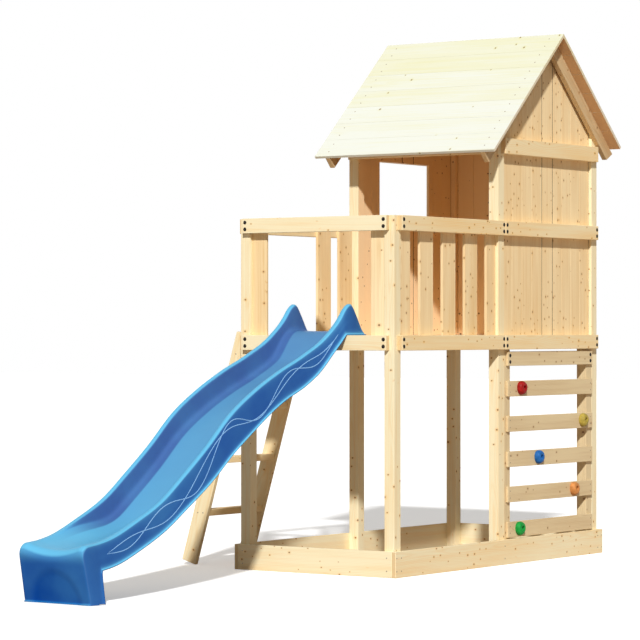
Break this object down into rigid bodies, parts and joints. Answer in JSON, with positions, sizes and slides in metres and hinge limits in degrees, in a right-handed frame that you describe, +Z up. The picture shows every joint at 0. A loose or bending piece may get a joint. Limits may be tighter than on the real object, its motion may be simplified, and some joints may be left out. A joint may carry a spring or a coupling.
{
  "type": "stilt playhouse",
  "caption": "Timber stilt playhouse on six posts with a roofed cabin, railed balcony, sandbox, wavy slide, ladder and climbing wall.",
  "frame": {"origin": "on the ground, under the middle of the whole object's box", "axes": "+X to the tower's right, from the ladder to the climbing wall; +Y from the slide's foot to the back of the cabin; +Z up"},
  "size_m": [1.7766, 5.025, 3.3506],
  "materials": {
    "frame_wood": "planed spruce, untreated",
    "board_wood": "planed spruce boards, untreated",
    "roof_wood": "planed spruce boards, pale",
    "slide_plastic": "moulded polyethylene, satin",
    "stone_red": "moulded, lightly rough",
    "stone_yellow": "moulded, lightly rough",
    "stone_blue": "moulded, lightly rough",
    "stone_orange": "moulded, lightly rough",
    "stone_green": "moulded, lightly rough"
  },
  "bodies": {
    "root": {"post_front_left": "frame_wood", "post_front_right": "frame_wood", "post_middle_left": "frame_wood", "post_middle_right": "frame_wood", "post_back_left": "frame_wood", "post_back_right": "frame_wood", "platform_rail_front": "frame_wood", "platform_rail_left": "frame_wood", "platform_rail_right": "frame_wood", "platform_rail_back": "frame_wood", "railing_front": "frame_wood", "railing_left": "frame_wood", "railing_right": "frame_wood", "cabin_rail_front": "frame_wood", "cabin_rail_left": "frame_wood", "cabin_rail_right": "frame_wood", "cabin_rail_back": "frame_wood", "deck": "board_wood", "joist_left": "frame_wood", "joist_right": "frame_wood", "wall_left": "board_wood", "wall_right": "board_wood", "wall_back": "board_wood", "baluster_right_1": "board_wood", "baluster_right_2": "board_wood", "baluster_right_3": "board_wood", "baluster_right_4": "board_wood", "baluster_right_5": "board_wood", "baluster_left_1": "board_wood", "baluster_left_2": "board_wood", "front_board_left": "board_wood", "front_board_right": "board_wood", "roof_front": "roof_wood", "roof_back": "roof_wood", "rafters_left": "frame_wood", "rafters_right": "frame_wood", "sandbox_front": "frame_wood", "sandbox_back": "frame_wood", "sandbox_left": "frame_wood", "sandbox_right": "frame_wood", "batten_front": "frame_wood", "batten_back": "frame_wood", "climb_board_1": "frame_wood", "climb_board_2": "frame_wood", "climb_board_3": "frame_wood", "climb_board_4": "frame_wood", "climb_board_5": "frame_wood", "climb_board_6": "frame_wood", "stone_red": "stone_red", "stone_yellow": "stone_yellow", "stone_blue": "stone_blue", "stone_orange": "stone_orange", "stone_green": "stone_green", "stringer_front": "frame_wood", "stringer_back": "frame_wood", "tread_1": "frame_wood", "tread_2": "frame_wood", "tread_3": "frame_wood", "tread_4": "frame_wood", "slide": "slide_plastic"}
  },
  "joints": []
}
